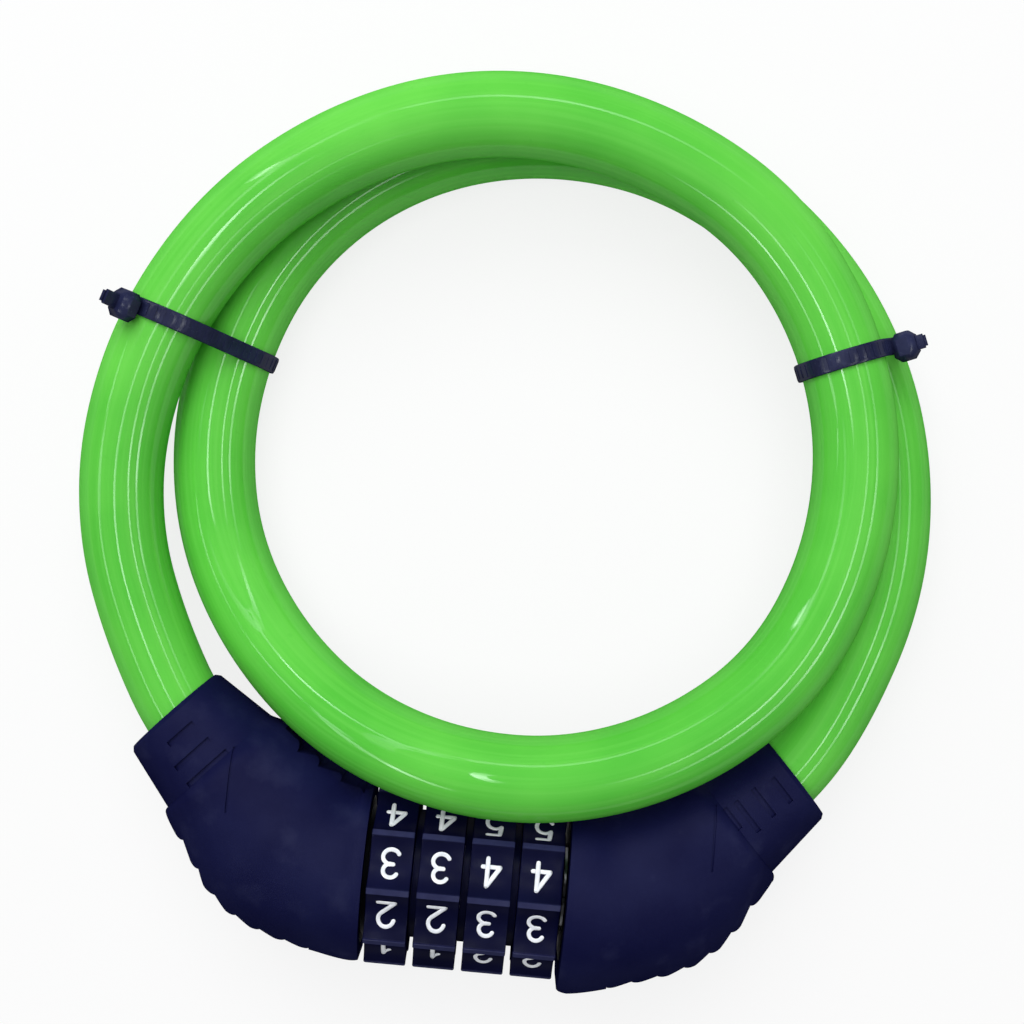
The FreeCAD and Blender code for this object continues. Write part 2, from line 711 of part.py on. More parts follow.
def makeHousing(side):
    name = sideName(side)
    rings = [makeRing(side, label, station) for label, station, _ in sections(side)]
    body = doc.addObject("Part::Loft", name + "_loft")
    body.Sections = rings[:1 - len(collarSections)]
    body.Solid = True
    collar = doc.addObject("Part::Loft", name + "_collar_loft")
    collar.Sections = rings[-len(collarSections):]
    collar.Solid = True
    collar.Ruled = True
    whole = doc.addObject("Part::MultiFuse", name + "_whole")
    whole.Shapes = [body, collar]
    # the edges' block stands on the surface, and so gives the plug its rest face
    tall = 2 * size("axis_height") + size("outline_margin")
    grip = feature(name + "_grip", gripOutline(side).extrude(Vector(0, 0, tall)))
    outer = doc.addObject("Part::MultiCommon", name + "_outer")
    outer.Shapes = [whole, grip]
    doc.recompute()

    margin = size("cutter_margin")
    tools = []
    for label, depth in (("flange", "flange_thickness"), ("stem", "flange_thickness + %s_stem" % name)):
        bore = doc.addObject("Part::Cylinder", "%s_%s_bore" % (name, label))
        bind(bore, Radius=label + "_radius", Height=depth + " + cutter_margin")
        bore.Placement = Placement(axisPoint + Vector(side * (mouthX - margin), 0, 0),
                                   Rotation(Vector(0, 0, 1), Vector(side, 0, 0)))
        tools.append(bore)

    corners = routeCorners()[::-side]
    clear = size("cable_radius") + size("cable_clearance")
    tools.append(feature(name + "_cable_bore", pipe(roundedPath(corners[:4]), clear)))
    seat, out = alongCollar(side, size("cable_seat"))
    pocket = doc.addObject("Part::Cylinder", name + "_ferrule_bore")
    bind(pocket, Radius="cable_radius + cable_clearance", Height="ferrule_length + cutter_margin")
    pocket.Placement = Placement(seat + out * margin, Rotation(Vector(0, 0, 1), out * -1))
    tools.append(pocket)

    lowered = outer.Shape.translated(Vector(0, 0, -size("groove_depth")))
    for index, (depth, outside, inside) in enumerate(grooves[name]):
        point, out = alongCollar(side, depth)
        tools.append(topLine("%s_groove_%d" % (name, index + 1), lowered, point, out, inward(side, out),
                             (outside, inside), size("groove_width")))
    along, level = centreline(side, stationAt(side, 1))
    beyond = along + level * ((size("crease_place") - abs(along.x)) / abs(level.x))
    lowered = outer.Shape.translated(Vector(0, 0, -size("crease_depth")))
    tools.append(topLine(name + "_crease", lowered, beyond, Vector(1, 0, 0), Vector(0, 1, 0),
                         (-size("crease_outer"), size("crease_inner")), size("crease_width")))

    pinX = corePinX(side)
    holeTop = size("axis_height") + size("core_pin_rise")
    tools.append(straightPin(name + "_core_pin_hole", pinX, axisPoint.y, -margin, holeTop))
    middle, out = alongCollar(side, size("cable_seat") + size("ferrule_length") / 2)
    tools.append(straightPin(name + "_cable_pin_hole", middle.x, middle.y, -margin, axisPoint.z))

    cutters = doc.addObject("Part::MultiFuse", name + "_cutters")
    cutters.Shapes = tools
    cover = doc.addObject("Part::Cut", name + "_cover")
    cover.Base = outer
    cover.Tool = cutters
    keep(cover, name + "_cover")

    station = abs(pinX) - mouthX
    below = evaluate(halfHeight(side, station / stationAt(side, 1), widthAt(side, station)))
    bottom = size("axis_height") - below + size("pin_sink")
    keep(straightPin(name + "_core_pin", pinX, axisPoint.y, bottom, holeTop), name + "_core_pin")
    reach = size("axis_height") - size("rope_radius") - size("pin_clearance")
    below = evaluate(halfHeight(side, 1, ""))
    low = size("axis_height") - below + size("pin_sink")
    keep(straightPin(name + "_cable_pin", middle.x, middle.y, low, reach), name + "_cable_pin")

    bore = "rope_radius + crimp_clearance"
    ferrule = turned(name + "_ferrule", [
        (0, bore), (0, "ferrule_radius"), ("ferrule_length", "ferrule_radius"), ("ferrule_length", 0),
        ("ferrule_length - ferrule_base", 0), ("ferrule_length - ferrule_base", bore)], 0)
    hole = newSketch(ferrule, name + "_ferrule_hole", "XY_Plane")
    addCircle(hole, "ferrule_length / 2", 0, "pin_stock")
    drilled = ferrule.newObject("PartDesign::Pocket", name + "_ferrule_drill")
    drilled.Profile = hole
    bind(drilled, Length="ferrule_radius + cutter_margin")
    for axis in "xyz":
        ferrule.setExpression("Placement.Base." + axis, None)
    way = math.degrees(math.atan2(-out.y, -out.x))
    ferrule.Placement = Placement(seat, Rotation(Vector(0, 0, 1), way))
    doc.recompute()


makeHousing(-1)
makeHousing(1)


# ---------------------------------------------------------------- cable ties

def makeTie(name):
    """A tie round the two turns that lie one on the other at a place on the coil.

    Its heading is the strap's direction from above. Its tip raises the head from the outside of
    the lower turn, and its slide moves the head along the strap.
    """
    at = Vector(size(name + "_x"), size(name + "_y"), 0)
    heading = size(name + "_heading")
    inner = size("cable_radius") + size("tie_slack")
    outer = inner + size("tie_thickness")
    width = size("tie_width")
    outward = Vector(math.cos(math.radians(heading)), math.sin(math.radians(heading)), 0)
    along = Vector(0, 0, 1).cross(outward)
    # a window two turns wide each way and three turns high takes in both turns and no other
    turn = 2 * size("cable_radius")
    reach, high = outward * (2 * turn), Vector(0, 0, 3 * turn)
    window = Part.Face(Part.makePolygon([at - reach, at + reach, at + reach + high, at - reach + high,
                                         at - reach]))
    crossings = [vertex.Point for vertex in window.section(sheathPath).Vertexes]
    back, front = sorted(crossings, key=lambda crossing: crossing.z)
    span = back - front

    def loop(radius, thick):
        start = along * (-thick / 2)
        ends = [Part.makeCylinder(radius, thick, centre + start, along) for centre in (front, back)]
        side = span.cross(along).normalize() * radius
        corners = [front + side + start, front - side + start, back - side + start, back + side + start]
        slab = Part.Face(Part.makePolygon(corners + corners[:1])).extrude(along * thick)
        return slab.fuse(ends)

    tip = math.radians(size(name + "_tip"))
    out = outward * math.cos(tip) + Vector(0, 0, math.sin(tip))
    up = out.cross(along)
    headWide, headTall = size("tie_head_width"), size("tie_head_height")
    headDeep = size("tie_head_depth")
    start = front + up * size(name + "_slide") + out * (inner + size("tie_head_gap"))

    def block(deep, wide, tall, after):
        """A block across the strap that begins a distance out from the head's inner face."""
        made = Part.makeBox(deep, wide, tall)
        corner = start + out * after - along * (wide / 2) - up * (tall / 2)
        made.Placement = Placement(corner, Rotation(out, along, up, "XZY"))
        return made

    root = size("tie_root")
    head = block(headDeep, headWide, headTall, 0)
    tail = block(size("tie_tail") + root, width - 2 * size("tie_tail_margin"), size("tie_thickness"),
                 headDeep - root)
    strap = loop(outer, width).fuse([head, tail]).cut(loop(inner, 2 * headWide))
    tie = feature(name, strap.removeSplitter())
    keep(tie, name)


makeTie("tie_left")
makeTie("tie_right")

# ---------------------------------------------------------------- checks and output

doc.recompute()
for thing in doc.Objects:
    if "Invalid" in thing.State or "Error" in thing.State:
        raise RuntimeError("%s did not compute: %s" % (thing.Label, thing.State))
for node in nodes:
    if node.Shape.isNull() or not node.Shape.isValid():
        raise RuntimeError("%s has no valid shape" % node.Label)

os.makedirs("parts", exist_ok=True)
for node in nodes:
    node.Shape.exportStep("parts/%s.step" % node.Label)
    box = node.Shape.BoundBox
    print("%-18s solids %d  volume %9.2f  box %7.2f %7.2f %7.2f to %7.2f %7.2f %7.2f" % (
        node.Label, len(node.Shape.Solids), node.Shape.Volume,
        box.XMin, box.YMin, box.ZMin, box.XMax, box.YMax, box.ZMax))
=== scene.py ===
import math

import bmesh
import bpy
from mathutils import Matrix, Vector


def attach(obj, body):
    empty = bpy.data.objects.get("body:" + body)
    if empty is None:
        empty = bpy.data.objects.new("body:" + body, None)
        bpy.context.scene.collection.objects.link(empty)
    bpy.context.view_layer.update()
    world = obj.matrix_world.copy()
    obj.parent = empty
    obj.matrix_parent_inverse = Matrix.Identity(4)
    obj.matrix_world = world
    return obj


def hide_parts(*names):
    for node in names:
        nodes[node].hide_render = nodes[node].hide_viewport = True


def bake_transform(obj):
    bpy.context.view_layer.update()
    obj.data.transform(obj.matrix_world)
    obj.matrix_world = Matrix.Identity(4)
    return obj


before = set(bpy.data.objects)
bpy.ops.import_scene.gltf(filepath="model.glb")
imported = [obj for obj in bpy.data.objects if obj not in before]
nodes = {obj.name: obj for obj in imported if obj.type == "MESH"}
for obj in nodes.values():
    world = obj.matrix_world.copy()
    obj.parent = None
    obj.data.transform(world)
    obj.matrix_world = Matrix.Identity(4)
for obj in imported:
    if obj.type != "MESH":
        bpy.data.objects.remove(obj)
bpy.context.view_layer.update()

scene = bpy.context.scene
print("frame loaded: %d CAD nodes" % len(nodes))


class Value:
    # an output socket; arithmetic on it adds Math nodes to its own tree
    def __init__(self, graph, socket):
        self.graph, self.socket = graph, socket

    def maths(self, operation, *terms):
        return self.graph.node("ShaderNodeMath", {"operation": operation}, dict(enumerate(terms)))

    def also(self, name):
        return Value(self.graph, self.socket.node.outputs[name])

    def __add__(self, other):
        return self.maths("ADD", self, other)

    def __sub__(self, other):
        return self.maths("SUBTRACT", self, other)

    def __rsub__(self, other):
        return self.maths("SUBTRACT", other, self)

    def __mul__(self, other):
        return self.maths("MULTIPLY", self, other)

    def __truediv__(self, other):
        return self.maths("DIVIDE", self, other)

    def __rtruediv__(self, other):
        return self.maths("DIVIDE", other, self)

    def __pow__(self, other):
        return self.maths("POWER", self, other)

    def __rpow__(self, other):
        return self.maths("POWER", other, self)

    __radd__, __rmul__ = __add__, __mul__


class Graph:
    # any node tree; node() is the one way that nodes are made
    def node(self, kind, settings=None, sockets=None, output=0):
        made = self.tree.nodes.new(kind)
        for key, value in (settings or {}).items():
            setattr(made, key, value)
        for key, value in (sockets or {}).items():
            self.feed(made.inputs[key], value)
        return Value(self, made.outputs[output]) if made.outputs else None

    def feed(self, socket, value):
        for one in value if isinstance(value, list) else [value]:
            if isinstance(one, Value):
                self.tree.links.new(one.socket, socket)
            else:
                socket.default_value = one


class Finish(Graph):
    # one material
    def __init__(self, name):
        self.material = bpy.data.materials.new(name)
        self.material.use_nodes = True
        self.tree = self.material.node_tree
        self.tree.nodes.clear()
        self.place = self.node("ShaderNodeTexCoord", output="Object")

    def stretched(self, source, scale):
        return self.node("ShaderNodeVectorMath", {"operation": "MULTIPLY"}, {0: source, 1: scale})

    def noise(self, scale, detail=2, vector=None):
        return self.node("ShaderNodeTexNoise", None, {
            "Vector": vector or self.place, "Scale": scale, "Detail": detail})

    def grains(self, scale):
        return self.node("ShaderNodeTexVoronoi", None, {"Vector": self.place, "Scale": scale})

    def between(self, value, low, high, start=0.0, end=1.0):
        # value's range low..high spread over start..end, and held there beyond it
        return self.node("ShaderNodeMapRange", None, {
            "Value": value, "From Min": low, "From Max": high, "To Min": start, "To Max": end})

    def blend(self, factor, first, second):
        return self.node("ShaderNodeMix", {"data_type": "RGBA"}, {0: factor, 6: first, 7: second}, output=2)

    def relief(self, height, distance, strength):
        return self.node("ShaderNodeBump", None, {
            "Height": height, "Distance": distance, "Strength": strength})

    def facing(self, power):
        # 1 where the surface is seen straight on, less at a slant: keeps a pale rim off dark plastic
        slant = self.node("ShaderNodeLayerWeight", None, {"Blend": 0.5}, output="Facing")
        return (1 - slant) ** power

    def done(self, sockets):
        surface = self.node("ShaderNodeBsdfPrincipled", None, sockets)
        self.node("ShaderNodeOutputMaterial", None, {"Surface": surface})
        return self.material


def colour(red, green, blue):
    # screen values 0-255 as the linear colour that shaders take
    def linear(part):
        part /= 255
        return part / 12.92 if part <= 0.04045 else ((part + 0.055) / 1.055) ** 2.4
    return linear(red), linear(green), linear(blue), 1.0


class Shape(Graph):
    # one Geometry Nodes tree with named number inputs, which build() fills in
    def __init__(self, name, labels):
        self.tree = bpy.data.node_groups.new(name, "GeometryNodeTree")
        self.tree.is_modifier = True
        self.tree.interface.new_socket("Geometry", in_out="OUTPUT", socket_type="NodeSocketGeometry")
        self.tree.interface.new_socket("Geometry", in_out="INPUT", socket_type="NodeSocketGeometry")
        self.sockets = {}
        for label in labels:
            socket = self.tree.interface.new_socket(label, in_out="INPUT", socket_type="NodeSocketFloat")
            self.sockets[label] = socket.identifier
        self.entry = self.node("NodeGroupInput", output="Geometry")

    def size(self, label):
        return self.entry.also(label)

    def finished(self, geometry, material):
        real = self.node("GeometryNodeRealizeInstances", None, {"Geometry": geometry})
        dressed = self.node("GeometryNodeSetMaterial", None, {"Geometry": real, "Material": material})
        self.node("NodeGroupOutput", None, {"Geometry": dressed})

    def build(self, name, source, sizes, place=None):
        # run the tree on a source object and return its result as a plain mesh object
        modifier = source.modifiers.new("shape", "NODES")
        modifier.node_group = self.tree
        for label, value in sizes.items():
            modifier[self.sockets[label]] = value
        bpy.context.view_layer.update()
        result = source.evaluated_get(bpy.context.evaluated_depsgraph_get())
        mesh = bpy.data.meshes.new_from_object(result)
        source.modifiers.remove(modifier)
        bpy.data.objects.remove(source)
        if place:
            mesh.transform(place)
        return addObject(name, mesh)


def addObject(name, mesh, material=None):
    mesh.name = name
    made = bpy.data.objects.new(name, mesh)
    scene.collection.objects.link(made)
    if material:
        mesh.materials.clear()
        mesh.materials.append(material)
    return made


def splines(name, lines, order=3, cyclic=False, resolution=8):
    # a curve object: NURBS lines, or straight runs where order is 2
    curve = bpy.data.curves.new(name, "CURVE")
    curve.dimensions = "3D"
    curve.resolution_u = resolution
    for line in lines:
        spline = curve.splines.new("NURBS" if order > 2 else "POLY")
        spline.points.add(len(line) - 1)
        for point, at in zip(spline.points, line):
            point.co = (*at, 1)
        spline.use_cyclic_u = cyclic
        if order > 2:
            spline.order_u = min(order, len(line))
            spline.use_endpoint_u = not cyclic
    made = bpy.data.objects.new(name, curve)
    scene.collection.objects.link(made)
    return made


def shadeSmooth(mesh, angle=None):
    mesh.shade_smooth()
    if angle is not None:
        mesh.set_sharp_from_angle(angle=math.radians(angle))


# camera, looking straight down

cameraSizes = {"place": (0.00176, 0.04740, 0.260), "turn": 5.3, "lens": 59.55, "sensor": 36.0}
cameraData = bpy.data.cameras.new("camera")
cameraData.lens, cameraData.sensor_width = cameraSizes["lens"], cameraSizes["sensor"]
cameraData.clip_start, cameraData.clip_end = 0.01, 20
camera = bpy.data.objects.new("camera", cameraData)
camera.location = cameraSizes["place"]
camera.rotation_euler = (0, 0, math.radians(cameraSizes["turn"]))
scene.collection.objects.link(camera)
scene.camera = camera

# the cable: one spline round the coil, from the barrel's collar to the plug's

cableSizes = {
    "radius": 0.006, "bore": 0.00405, "sides": 44, "resolution": 12,
    "strandCircle": 0.00265, "strandRadius": 0.00132, "strandPitch": 0.046, "strandSides": 8,
    "outerStrands": 6, "diameter": 0.012,
    "points": [
        (-0.033413, 0.003911, 0.0136), (-0.041824, 0.011753, 0.0136),
        (-0.0495, 0.0252, 0.0136), (-0.0546, 0.0388, 0.0138), (-0.0554, 0.0540, 0.0148),
        (-0.0510, 0.0704, 0.0166), (-0.0412, 0.0856, 0.0186), (-0.0276, 0.0966, 0.0194),
        (-0.0123, 0.1030, 0.0195), (0.0041, 0.1041, 0.0195), (0.0202, 0.1001, 0.0195),
        (0.0347, 0.0916, 0.0195), (0.0450, 0.0779, 0.0195), (0.0501, 0.0614, 0.0200),
        (0.0489, 0.0440, 0.0218), (0.0417, 0.0280, 0.0238), (0.0286, 0.0167, 0.0252),
        (0.0129, 0.0107, 0.0254), (-0.0035, 0.0105, 0.0242), (-0.0189, 0.0150, 0.0188),
        (-0.0319, 0.0245, 0.0114), (-0.0408, 0.0379, 0.0075), (-0.0439, 0.0532, 0.0072),
        (-0.0421, 0.0685, 0.0072), (-0.0361, 0.0825, 0.0072), (-0.0256, 0.0939, 0.0072),
        (-0.0118, 0.1014, 0.0072), (0.0041, 0.1042, 0.0072), (0.0208, 0.1020, 0.0072),
        (0.0364, 0.0940, 0.0072), (0.0494, 0.0805, 0.0072), (0.0571, 0.0626, 0.0077),
        (0.0576, 0.0421, 0.0108), (0.0506, 0.0224, 0.0132),
        (0.043019, 0.011003, 0.0136), (0.034609, 0.003160, 0.0136)],
    "barrelExit": (-0.044383, 0.014140, 0.0136),
    "plugExit": (0.045579, 0.013390, 0.0136),
    "tailFrom": (0.0536, 0.0757, 0.0072),       # under the right tie, where the tail piece begins
    "bendStart": (0.0571, 0.0720, 0.0077), "bendEnd": (0.0571, 0.0150, 0.0077),
}

route = splines("cableRoute", [cableSizes["points"]], resolution=cableSizes["resolution"])
routeMesh = bpy.data.meshes.new_from_object(route.evaluated_get(bpy.context.evaluated_depsgraph_get()))
cableLine = [vertex.co.copy() for vertex in routeMesh.vertices]
bpy.data.objects.remove(route)


def pathFrames(line):
    # (point, across, up) along a line, carried on without twist; up starts nearest to +Z
    frames, across = [], None
    for i, point in enumerate(line):
        tangent = (line[min(i + 1, len(line) - 1)] - line[max(i - 1, 0)]).normalized()
        if across is None:
            across = tangent.cross(Vector((0, 0, 1)))
        across = (across - tangent * across.dot(tangent)).normalized()
        frames.append((point, across, across.cross(tangent)))
    return frames


def travel(line):
    lengths = [0.0]
    for before, after in zip(line, line[1:]):
        lengths.append(lengths[-1] + (after - before).length)
    return lengths


def sheathMesh(frames, lengths, radius, bore, sides):
    # outer wall and bore joined at both ends, with where each point lies along and round the cable
    mesh, grid, lay = bpy.data.meshes.new("sheath"), bmesh.new(), []
    rings = {}
    for wall, size in (("outer", radius), ("inner", bore)):
        rings[wall] = []
        for (point, across, up), length in zip(frames, lengths):
            ring = []
            for k in range(sides):
                turn = 2 * math.pi * k / sides
                way = up * math.cos(turn) + across * math.sin(turn)
                ring.append(grid.verts.new(point + way * size))
                lay.append((math.cos(turn), math.sin(turn), length / radius))
            rings[wall].append(ring)
    for wall, flip in (("outer", False), ("inner", True)):
        for one, two in zip(rings[wall], rings[wall][1:]):
            for k in range(sides):
                corners = [one[k], two[k], two[(k + 1) % sides], one[(k + 1) % sides]]
                grid.faces.new(corners[::-1] if flip else corners)
    for end, flip in ((0, True), (-1, False)):
        outer, inner = rings["outer"][end], rings["inner"][end]
        for k in range(sides):
            corners = [outer[k], inner[k], inner[(k + 1) % sides], outer[(k + 1) % sides]]
            grid.faces.new(corners[::-1] if flip else corners)
    grid.to_mesh(mesh)
    grid.free()
    follow = mesh.attributes.new("lay", "FLOAT_VECTOR", "POINT")
    for entry, value in zip(follow.data, lay):
        entry.vector = value
    shadeSmooth(mesh, 60)
    return mesh


def ropeMesh(frames, lengths, sizes):
    # a core strand with the others wound round it
    mesh, grid = bpy.data.meshes.new("rope"), bmesh.new()
    sides = sizes["strandSides"]
    for strand in range(sizes["outerStrands"] + 1):
        circle = sizes["strandCircle"] if strand else 0
        centres = []
        for (point, across, up), length in zip(frames, lengths):
            turn = 2 * math.pi * (length / sizes["strandPitch"] + strand / sizes["outerStrands"])
            centres.append(point + (up * math.cos(turn) + across * math.sin(turn)) * circle)
        rings = []
        for point, side, up in pathFrames(centres):
            rings.append([grid.verts.new(point + (up * math.cos(2 * math.pi * k / sides)
                                                  + side * math.sin(2 * math.pi * k / sides))
                                         * sizes["strandRadius"]) for k in range(sides)])
        for one, two in zip(rings, rings[1:]):
            for k in range(sides):
                grid.faces.new([one[k], two[k], two[(k + 1) % sides], one[(k + 1) % sides]])
        grid.faces.new(rings[0])
        grid.faces.new(rings[-1][::-1])
    bmesh.ops.recalc_face_normals(grid, faces=grid.faces)
    grid.to_mesh(mesh)
    grid.free()
    shadeSmooth(mesh, 60)
    return mesh


def greenVinyl():
    look = {"base": colour(100, 202, 72), "deep": colour(82, 186, 60), "pale": colour(118, 211, 90),
            "roughness": 0.42, "coat": 1.0, "coatRoughness": 0.05}
    finish = Finish("greenVinyl")
    lay = finish.node("ShaderNodeAttribute", {"attribute_name": "lay"}, output="Vector")
    drawn = finish.noise(1.0, 3, finish.stretched(lay, (7, 7, 0.10)))          # lengthwise lines from the die
    coarse = finish.noise(1.0, 1, finish.stretched(lay, (2.2, 2.2, 0.06)))
    cloudy = finish.noise(38, 3)
    specks = finish.between(finish.noise(900, 2), 0.66, 0.76)
    rub = finish.between(finish.noise(60, 4), 0.56, 0.72)
    tone = finish.blend(finish.between(cloudy, 0.35, 0.65), look["deep"], look["base"])
    tone = finish.blend(finish.between(drawn, 0.45, 0.75, 0.0, 0.35), tone, look["pale"])
    tone = finish.blend(specks * 0.25, tone, look["deep"])
    orange, grain = finish.noise(420, 2), finish.noise(2600, 1)
    height = coarse * 0.30 + drawn * 0.07 + orange * 0.02 + grain * 0.016
    return finish.done({
        "Base Color": tone, "Roughness": rub * 0.10 + look["roughness"],
        "Normal": finish.relief(height, 0.0006, 0.55),
        "Specular IOR Level": 0.0, "Coat Weight": finish.facing(2.2) * look["coat"] * (1 - rub * 0.3),
        "Coat Roughness": look["coatRoughness"], "Coat IOR": 1.5})


def mouldedBlack():
    look = {"base": colour(21, 24, 60), "deep": colour(13, 15, 51), "pale": colour(36, 39, 73), "coat": 0.22}
    finish = Finish("mouldedBlack")
    cloudy = finish.noise(90, 4)
    grain = finish.grains(5200)
    fine = finish.noise(2600, 3)
    rub = finish.between(finish.noise(170, 5), 0.55, 0.75)
    tone = finish.blend(finish.between(cloudy, 0.35, 0.7), look["deep"], look["base"])
    tone = finish.blend(rub * 0.35, tone, look["pale"])
    height = grain * 0.5 + fine * 0.5
    return finish.done({
        "Base Color": tone, "Roughness": 0.56 - rub * 0.12 + fine * 0.05,
        "Normal": finish.relief(height, 0.00006, 0.35), "Specular IOR Level": 0.0,
        "Coat Weight": finish.facing(2) * look["coat"] * (rub * 0.6 + 0.7), "Coat Roughness": 0.48})


def dialBlack(axis, ridge):
    # painted highlight: the ridges are painted paler than the facets between them, and they are also smoother
    look = {"base": colour(12, 14, 47), "deep": colour(7, 8, 36), "ridgeHighlight": colour(44, 47, 84), "coat": 0.4}
    finish = Finish("dialBlack")
    across = finish.node("ShaderNodeSeparateXYZ", None, {0: finish.place}, output="Y")
    down, high = across - axis.y, across.also("Z") - axis.z
    radius = (down * down + high * high) ** 0.5
    crest = finish.between(radius, ridge - 0.0005, ridge - 0.00005)
    cloudy = finish.noise(120, 4)
    fine = finish.noise(2400, 2)
    scratch = finish.noise(1.0, 3, finish.stretched(finish.place, (160, 1500, 1500)))
    scratch = finish.between(scratch, 0.6, 0.8)
    tone = finish.blend(finish.between(cloudy, 0.35, 0.7), look["deep"], look["base"])
    # painted highlight along the ridges, broken up by noise
    tone = finish.blend(crest * (finish.noise(700, 3) * 0.6 + 0.45), tone, look["ridgeHighlight"])
    return finish.done({
        "Base Color": tone, "Roughness": 0.40 + fine * 0.06 - crest * 0.08 + scratch * 0.08,
        "Normal": finish.relief(fine * 0.6 + scratch * 0.4, 0.00005, 0.3), "Specular IOR Level": 0.0,
        "Coat Weight": finish.facing(2) * look["coat"] * (crest * 0.5 + 0.6), "Coat Roughness": 0.3})


def digitPaint():
    look = {"base": colour(240, 243, 248), "dull": colour(214, 219, 228)}
    finish = Finish("digitPaint")
    cloudy, fine = finish.noise(900, 4), finish.noise(5000, 2)
    return finish.done({
        "Base Color": finish.blend(finish.between(cloudy, 0.4, 0.75), look["base"], look["dull"]),
        "Roughness": 0.45 + fine * 0.15, "Normal": finish.relief(fine, 0.00003, 0.4)})


def tieNylon():
    look = {"base": colour(39, 43, 74), "deep": colour(26, 29, 56), "pale": colour(70, 76, 106), "coat": 0.7}
    finish = Finish("tieNylon")
    cloudy, fine = finish.noise(260, 4), finish.noise(2600, 3)
    tone = finish.blend(finish.between(cloudy, 0.35, 0.7), look["deep"], look["base"])
    tone = finish.blend(finish.between(fine, 0.62, 0.8, 0, 0.5), tone, look["pale"])
    return finish.done({
        "Base Color": tone, "Roughness": 0.33 + cloudy * 0.14,
        "Normal": finish.relief(fine, 0.00005, 0.35), "Specular IOR Level": 0.0,
        "Coat Weight": finish.facing(1.5) * look["coat"], "Coat Roughness": 0.22})


def metal(name, base, dull, roughness, stretch, polish=0.0):
    finish = Finish(name)
    cloudy = finish.noise(240, 5)
    lines = finish.noise(1.0, 3, finish.stretched(finish.place, stretch))
    pits = finish.between(finish.grains(1500), 0.0, 0.25, 1.0, 0.0)
    tone = finish.blend(finish.between(cloudy, 0.35, 0.7), base, dull)
    tone = finish.blend(lines * 0.25, tone, dull)
    return finish.done({
        "Base Color": tone, "Metallic": 0.96 - cloudy * 0.06, "Roughness": lines * 0.14 + roughness,
        "Normal": finish.relief(lines * 0.6 - pits * (0.4 - polish), 0.00004, 0.4)})


dialSizes = {
    "axis": Vector((0, -0.0061, 0.0136)), "pitch": 0.007, "width": 0.006, "start": -0.0135,
    "bore": 0.008, "ridge": 0.0133, "ridgeWidth": 0.00104, "ridgeRound": 0.00014,
    "facet": 0.0114, "facetRise": 0.001, "edgeRound": 0.00022, "lean": 16.7, "step": 36.0,
    "shown": [3, 3, 4, 4],          # the digit on each dial's uppermost facet
}
vinyl = greenVinyl()
housingFinish = mouldedBlack()
dialFinish = dialBlack(dialSizes["axis"], dialSizes["ridge"])
paint = digitPaint()
nylon = tieNylon()
brass = metal("turnedBrass", colour(214, 176, 96), colour(168, 130, 66), 0.26, (900, 60, 60))
zinc = metal("blackenedZinc", colour(34, 35, 42), colour(20, 21, 28), 0.55, (200, 200, 200))
steel = metal("drawnSteel", colour(196, 198, 202), colour(140, 142, 148), 0.24, (1400, 90, 90), 0.3)
wire = metal("ropeWire", colour(170, 172, 176), colour(104, 106, 110), 0.34, (2200, 2200, 2200), 0.2)
print("materials made")

cadFinishes = {
    "barrel_cover": housingFinish, "plug_cover": housingFinish,
    "spacer_1": dialFinish, "spacer_2": dialFinish, "spacer_3": dialFinish,
    "code_ring_1": brass, "code_ring_2": brass, "code_ring_3": brass, "code_ring_4": brass,
    "barrel_ferrule": zinc, "plug_ferrule": zinc, "core_tube": steel,
    "barrel_core": zinc, "plug_core": zinc,
    "locking_pin": steel, "detent_leaf": steel, "wave_washer": zinc, "retaining_ring": steel,
    "barrel_core_pin": steel, "plug_core_pin": steel, "barrel_cable_pin": steel, "plug_cable_pin": steel,
}
for name, material in cadFinishes.items():
    nodes[name].data.materials.clear()
    nodes[name].data.materials.append(material)
print("CAD pieces dressed")

# cable pieces

frames, lengths = pathFrames(cableLine), travel(cableLine)
split = min(range(len(cableLine)), key=lambda i: (cableLine[i] - Vector(cableSizes["tailFrom"])).length)
coilPart, tailPart = slice(0, split + 1), slice(split, len(cableLine))
pieces = {}
for label, part in (("coil", coilPart), ("tail", tailPart)):
    pieces["cable_" + label] = addObject("cable_" + label, sheathMesh(
        frames[part], lengths[part], cableSizes["radius"], cableSizes["bore"], cableSizes["sides"]), vinyl)
    pieces["rope_" + label] = addObject("rope_" + label, ropeMesh(
        frames[part], lengths[part], cableSizes), wire)
for kind, node in (("cable", "cable_sheath"), ("rope", "wire_core")):
    coil, tail = pieces[kind + "_coil"], pieces[kind + "_tail"]
    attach(coil, "barrel")
    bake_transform(tail)
    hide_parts(node)
    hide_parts(node)
round(lengths[-1] - lengths[split], 3)
print("cable made: %.0f mm" % (lengths[-1] * 1000))

# dial wheels: ten hollow facets between narrow ridges, with the edges rounded over

facetHalf = dialSizes["ridge"] * math.sin(math.radians(dialSizes["step"] / 2)) - dialSizes["ridgeWidth"] / 2
dialHollow = dialSizes["facetRise"] / facetHalf ** 2


def wheelOutline(sizes, steps=9):
    # (y, z) corners of a wheel's section about its own axis, one facet after another
    corner, crest = sizes["ridgeRound"], sizes["ridge"] * math.cos(math.radians(sizes["step"] / 2))
    facet = []
    for k in range(steps + 1):
        along = facetHalf * (2 * k / steps - 1)
        facet.append((along, sizes["facet"] + dialHollow * along * along))
    rise = [(facetHalf, crest - corner), (facetHalf + 0.3 * corner, crest - 0.3 * corner),
            (facetHalf + corner, crest + 0.1 * corner)]
    section = [(-along, out) for along, out in reversed(rise)] + facet + rise
    outline = []
    for number in range(round(360 / sizes["step"])):
        turn = math.radians(sizes["lean"] + number * sizes["step"])
        for along, out in section:
            outline.append((out * math.sin(turn) + along * math.cos(turn),
                            out * math.cos(turn) - along * math.sin(turn)))
    return outline


